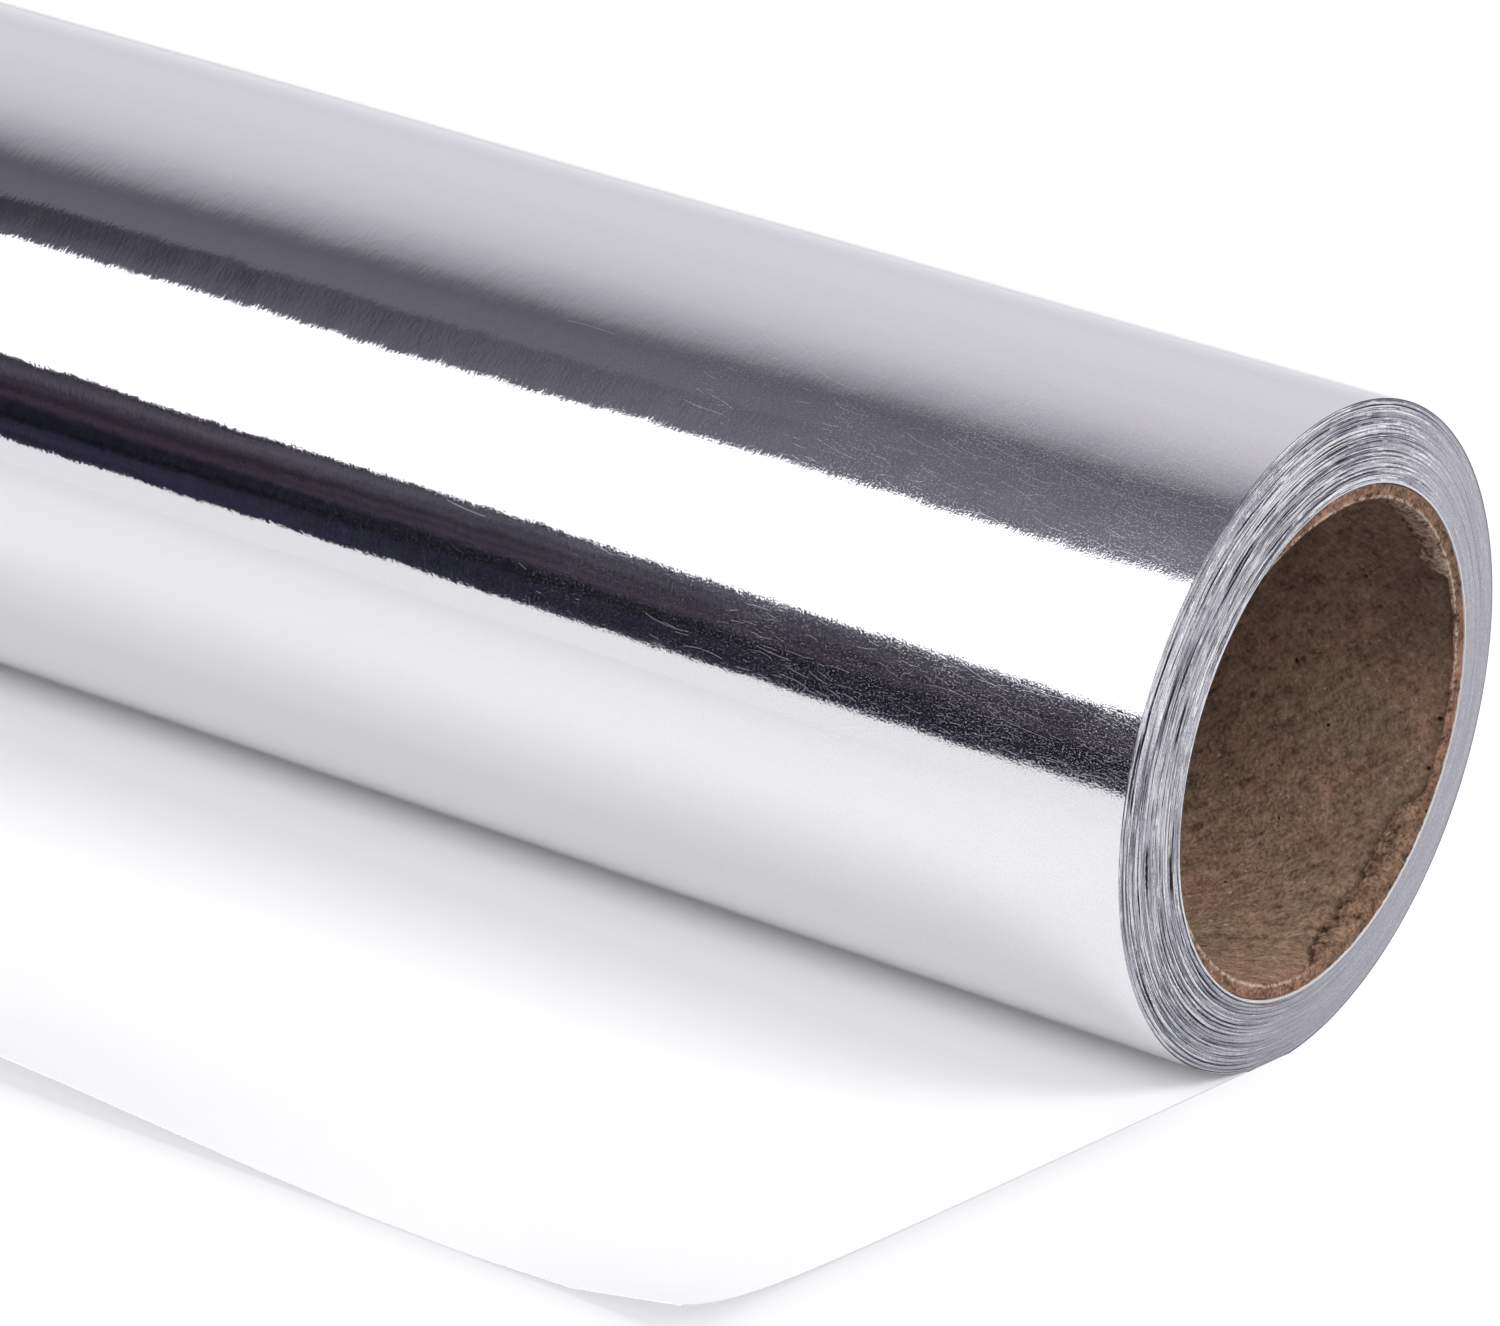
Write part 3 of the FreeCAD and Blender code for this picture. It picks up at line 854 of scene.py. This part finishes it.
# parts of the room from low to high: (elevation in degrees, level that the foil shows, tint)
TABLE = [(-180, 214, LILAC), (-150, 214, LILAC), (-92, 226, LILAC), (-88, 60, VIOLET), (-17, 58, VIOLET)]
FLAG = [(-17, 62, INK), (-15, 46, INK), (-12.5, 48, INK), (-10, 48, INK), (-7, 32, INK)]
FLAG += [(-4.8, 24, INK), (-2.6, 35, INK), (-0.4, 54, PLUM), (1.8, 63, PLUM), (4, 60, PLUM)]
FLAG += [(8.3, 80, VIOLET), (12.8, 100, VIOLET)]
CEILING = [(69.5, 98, VIOLET), (76, 95, VIOLET), (81, 88, VIOLET), (84, 95, VIOLET)]
CEILING += [(86.3, 113, SLATE), (88.3, 128, SLATE), (95, 158, SLATE), (105, 187, LILAC)]
CEILING += [(118, 200, LILAC), (138, 206, LILAC), (150, 206, LILAC), (159, 202, LILAC), (164, 204, LILAC)]
CEILING += [(169, 208, LILAC), (175, 214, LILAC), (180, 214, LILAC)]
# just over the soft box, the levels differ: towards -X, in the middle, and towards +X
OVER_BOX_DEGREES = (53.5, 62, 68)
OVER_BOX = [(88, 58, 54), (104, 112, 104), (132, 128, 112)]
# the soft box is between them: its level, and the degrees over which its lower and upper edge blend
SOFT_BOX = 310
SOFT_BOX_LOW, SOFT_BOX_HIGH = (12.9, 13.1), (53.4, 53.7)


def mirrored(level, tint):
    """The radiance that the foil shows as this sRGB level. 255 is white, and more is brighter than white."""
    share = level / 255
    linear = ((share + 0.055) / 1.055) ** 2.4
    return tuple(linear * channel / FOIL_COLOUR[1] for channel in tint)


def sky(nodes, elevation, stops):
    """Colours along the elevation, from stops of degrees, the level that the foil shows, and tint."""
    first, last = stops[0][0], stops[-1][0]
    span = [((degrees - first) / (last - first), mirrored(level, tint)) for degrees, level, tint in stops]
    return nodes.ramp(nodes.between(elevation, first, last), span)


def hang(nodes, elevation, side):
    """The elevation as it counts on the room's parts. They hang askew: the soft box widens towards +X."""
    askew = nodes.between(elevation, 12.0, 50.0, 9.6, -22.0)
    aside = nodes.math("MINIMUM", nodes.math("MAXIMUM", nodes.plus(side, 0.75), -1.0), 1.2)
    return nodes.plus(elevation, nodes.times(askew, aside))


def mirrored_flag(nodes, elevation, side, hung):
    """The black flag: streaky, tinted in places, and darker at its far end."""
    hue_place = nodes.join(nodes.times(elevation, 0.7), nodes.times(side, 16.0), 5.0)
    hue = nodes.between(nodes.noise(hue_place, 1.0, 4.0), 0.4, 0.6)
    hue = nodes.mix(hue, (0.85, 1.02, 1.15), (1.15, 0.95, 0.95))
    colour = nodes.mix(1.0, sky(nodes, hung, FLAG), hue, "MULTIPLY")
    weave = nodes.join(nodes.times(elevation, 0.4), nodes.times(side, 9.0), 0.0)
    streaks = nodes.between(nodes.noise(weave, 1.0, 4.0), 0.3, 0.7, 0.1, 0.9)
    return nodes.shade(colour, nodes.times(streaks, nodes.between(side, -1.15, -0.85, 0.8, 1.0)))


def mirrored_ceiling(nodes, side, hung):
    """The room over the soft box, which is lighter next to the box towards +X."""
    skies = []
    for levels in OVER_BOX:
        stops = [(degrees, level, VIOLET) for degrees, level in zip(OVER_BOX_DEGREES, levels)]
        skies.append(sky(nodes, hung, stops + CEILING))
    far, middle, near = skies
    ceiling = nodes.mix(nodes.between(side, -0.75, -0.55), far, middle)
    return nodes.mix(nodes.between(side, -0.3, 0.0), ceiling, near)


def within(nodes, elevation, middle, reach):
    """1 where the elevation is no further than reach from the middle, and 0 elsewhere."""
    return nodes.math("LESS_THAN", nodes.math("ABSOLUTE", nodes.minus(elevation, middle)), reach)


def make_world():
    """A white room with a black flag and a soft box, all long in X, as the foil mirrors them.

    The elevation goes round the roll's axis in degrees: 0 is towards -Y, 90 is up and 180 is back.
    """
    world = bpy.data.worlds.new("studio")
    world.use_nodes = True
    bpy.context.scene.world = world
    nodes = Nodes(world.node_tree)
    x, y, z = nodes.split(nodes.add("TexCoord").outputs["Generated"])
    elevation = nodes.math("DEGREES", nodes.math("ARCTAN2", z, nodes.times(y, -1.0)))
    side = nodes.math("DIVIDE", x, nodes.hypotenuse(y, z))
    hung = hang(nodes, elevation, side)
    table, flag = sky(nodes, hung, TABLE), mirrored_flag(nodes, elevation, side, hung)
    room = nodes.mix(nodes.math("GREATER_THAN", hung, FLAG[0][0]), table, flag)
    room = nodes.mix(nodes.between(hung, *SOFT_BOX_LOW), room, mirrored(SOFT_BOX, LILAC))
    room = nodes.mix(nodes.between(hung, *SOFT_BOX_HIGH), room, mirrored_ceiling(nodes, side, hung))

    # the flag is for the mirror only: it doesn't keep light from the paper in the crevice
    path = nodes.add("LightPath").outputs
    on_flag = within(nodes, hung, -2.0, 15.0)
    bounced = nodes.times(on_flag, nodes.math("GREATER_THAN", path["Diffuse Depth"], 0.5))
    room = nodes.mix(bounced, room, (1.1, 1.1, 1.1))
    # the light for dull surfaces: a strip low at the front is brightest, and less comes from +X
    fill = nodes.mix(nodes.between(z, -0.05, 0.05), (0.75, 0.75, 0.76), (0.45, 0.45, 0.46))
    fill = nodes.mix(within(nodes, elevation, 6.0, 9.0), fill, (4.2, 4.2, 4.2))
    fill = nodes.mix(nodes.between(x, 0.2, 0.5, 0.0, 0.5), fill, (0.0, 0.0, 0.0))
    light = nodes.mix(path["Is Glossy Ray"], fill, room)
    light = nodes.mix(path["Is Camera Ray"], light, (1.0, 1.0, 1.0))
    background = nodes.add("Background", Color=light, Strength=1.0)
    nodes.add("OutputWorld", Surface=background.outputs[0])


def make_floor():
    """A white table whose front edge is just past the lead, as the foil mirrors it."""
    material, nodes = new_material("white_table")
    path = nodes.add("LightPath").outputs
    x, y, _ = nodes.split(nodes.add("TexCoord").outputs["Object"])
    # a painted shadow round the lead's edges, which is fainter past its left stretch
    beyond_end = nodes.math("MAXIMUM", nodes.minus(nodes.math("ABSOLUTE", x), HALF_WIDTH), 0.0)
    fainter = nodes.between(x, -40 * MM, -HALF_WIDTH, 0.0, 8 * MM)
    beyond_tip = nodes.math("MAXIMUM", nodes.minus(nodes.plus(fainter, LEAD_TIP), y), 0.0)
    fading = nodes.math("DIVIDE", nodes.hypotenuse(beyond_end, beyond_tip), -3.0 * MM)
    shade = nodes.times(nodes.math("EXPONENT", fading), nodes.between(y, 4 * MM, -20 * MM))
    seen = nodes.mix(shade, (0.88, 0.88, 0.88), (0.67, 0.67, 0.70))
    # the table glows a little where the foil mirrors its back
    behind = nodes.times(path["Is Glossy Ray"], nodes.between(y, 0.0, 0.1))
    glow = nodes.mix(behind, (0.0, 0.0, 0.0), (0.2, 0.2, 0.21))
    bounce = nodes.mix(path["Is Diffuse Ray"], (0.86, 0.86, 0.87), (0.35, 0.35, 0.36))
    surface(
        nodes,
        Base_Color=nodes.mix(path["Is Camera Ray"], bounce, (0.18, 0.18, 0.18)),
        Roughness=1.0,
        Specular_IOR_Level=0.0,
        Emission_Color=nodes.mix(path["Is Camera Ray"], glow, seen),
        Emission_Strength=1.0,
    )
    front, back, reach, drop = -0.12, 1.5, 1.6, -0.02 * MM
    corners = [(-reach, front, drop), (reach, front, drop), (reach, back, drop), (-reach, back, drop)]
    mesh = bpy.data.meshes.new("table")
    mesh.from_pydata(corners, [], [(0, 1, 2, 3)])
    mesh.materials.append(material)
    floor = bpy.data.objects.new("table", mesh)
    bpy.context.scene.collection.objects.link(floor)


def make_lamp(name, place, target, size, radiance):
    """A soft lamp that lights the dull surfaces only: the foil mirrors the world instead."""
    lamp = bpy.data.lights.new(name, "AREA")
    lamp.shape = "RECTANGLE"
    lamp.size, lamp.size_y = size
    lamp.energy = math.pi * size[0] * size[1] * radiance
    holder = bpy.data.objects.new(name, lamp)
    bpy.context.scene.collection.objects.link(holder)
    holder.location = place
    holder.rotation_euler = (Vector(place) - Vector(target)).to_track_quat("Z", "Y").to_euler()
    holder.visible_camera = False
    holder.visible_glossy = False


def make_camera():
    """A long lens that looks down at the roll's front and right end, a little tilted."""
    camera = bpy.data.cameras.new("camera")
    camera.sensor_width = 36.0
    camera.lens = 196.2
    camera.clip_start, camera.clip_end = 0.01, 50.0
    holder = bpy.data.objects.new("camera", camera)
    bpy.context.scene.collection.objects.link(holder)
    bpy.context.scene.camera = holder
    heading, pitch, roll = math.radians(33.21), math.radians(18.21), math.radians(6.15)
    forward = Vector(
        (-math.sin(heading) * math.cos(pitch), math.cos(heading) * math.cos(pitch), -math.sin(pitch))
    )
    level = Vector((math.cos(heading), math.sin(heading), 0))
    upward = level.cross(forward)
    right = math.cos(roll) * level + math.sin(roll) * upward
    up = math.cos(roll) * upward - math.sin(roll) * level
    place = Vector((HALF_WIDTH + 0.2794, -0.5032, AXIS_HEIGHT + 0.19))
    axes = Matrix((right, up, -forward)).transposed().to_4x4()
    holder.matrix_world = Matrix.Translation(place) @ axes


bpy.context.scene.view_settings.view_transform = "Standard"
make_world()
make_floor()
make_lamp("soft_box", (0.1, -0.95, 0.74), (0.1, 0, 0), (2.4, 0.5), 2.2)
make_lamp("top_light", (0.1, 0.33, 1.26), (0.1, 0, 0), (2.0, 0.6), 0.65)
make_lamp("end_light", (1.0, 0.05, 0.80), (HALF_WIDTH, 0, AXIS_HEIGHT), (0.5, 0.5), 8.0)
make_camera()
make_wrapping_paper()
make_cardboard_core()
